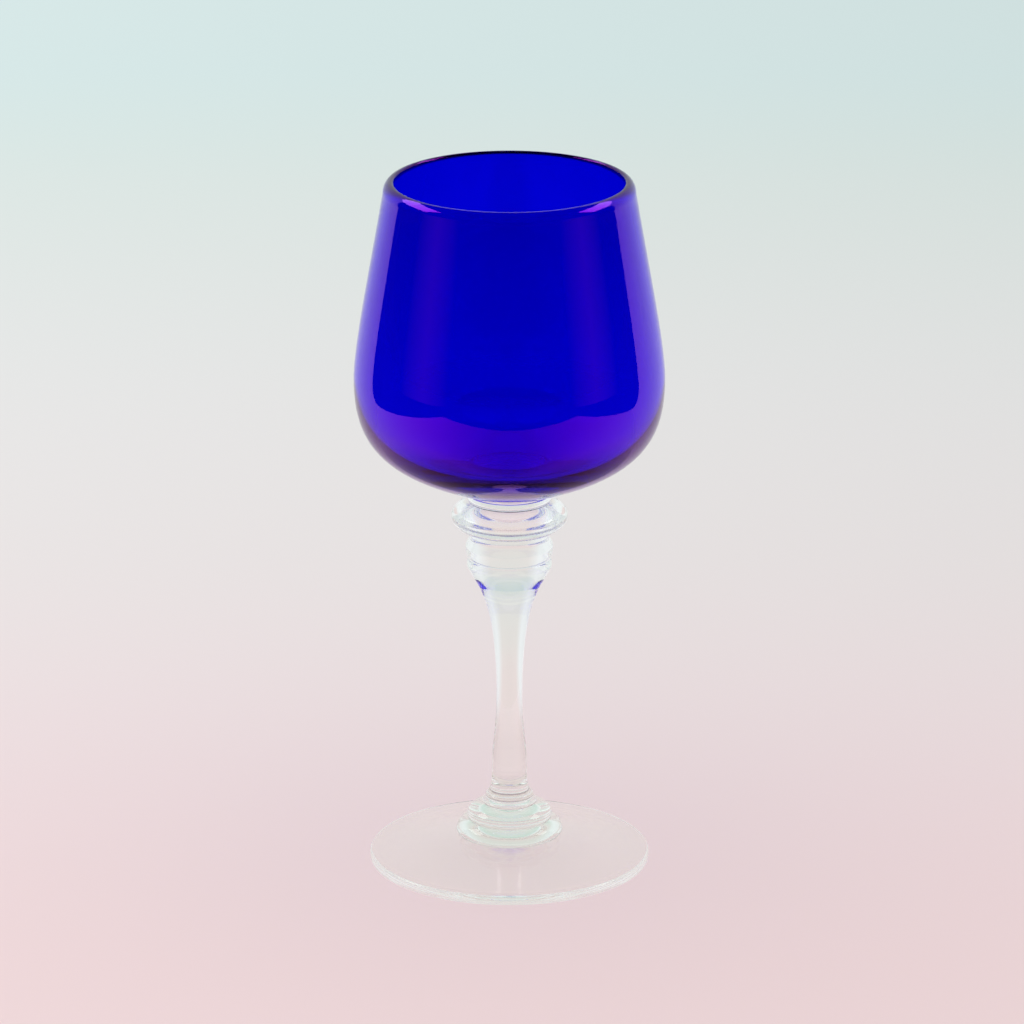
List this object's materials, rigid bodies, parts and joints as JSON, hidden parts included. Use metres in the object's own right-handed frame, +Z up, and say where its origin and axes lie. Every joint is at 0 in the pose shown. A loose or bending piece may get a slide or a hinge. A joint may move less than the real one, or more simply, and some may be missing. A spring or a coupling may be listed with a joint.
{
  "type": "white wine glass",
  "caption": "Stemmed wine glass: a tapered cobalt blue bowl on a clear tooled stem with a wide ring, a ringed knop and a slim leg, standing on a domed round foot.",
  "frame": {"origin": "middle of the ring that the foot stands on, on the table", "axes": "+Z up along the glass's axis, from the foot to the rim; X and Y are free because the glass is turned"},
  "size_m": [0.081, 0.081, 0.1855],
  "materials": {
    "clear_glass": "clear soda-lime glass with a faint green tint, fire polished",
    "cobalt_glass": "deep cobalt blue glass, see-through, fire polished"
  },
  "bodies": {
    "root": {"foot": "clear_glass", "foot_dome": "clear_glass", "base_collar": "clear_glass", "stem": "clear_glass", "knop": "clear_glass", "merese_ring": "clear_glass", "neck_wafer": "clear_glass", "bowl": "cobalt_glass"}
  },
  "joints": []
}
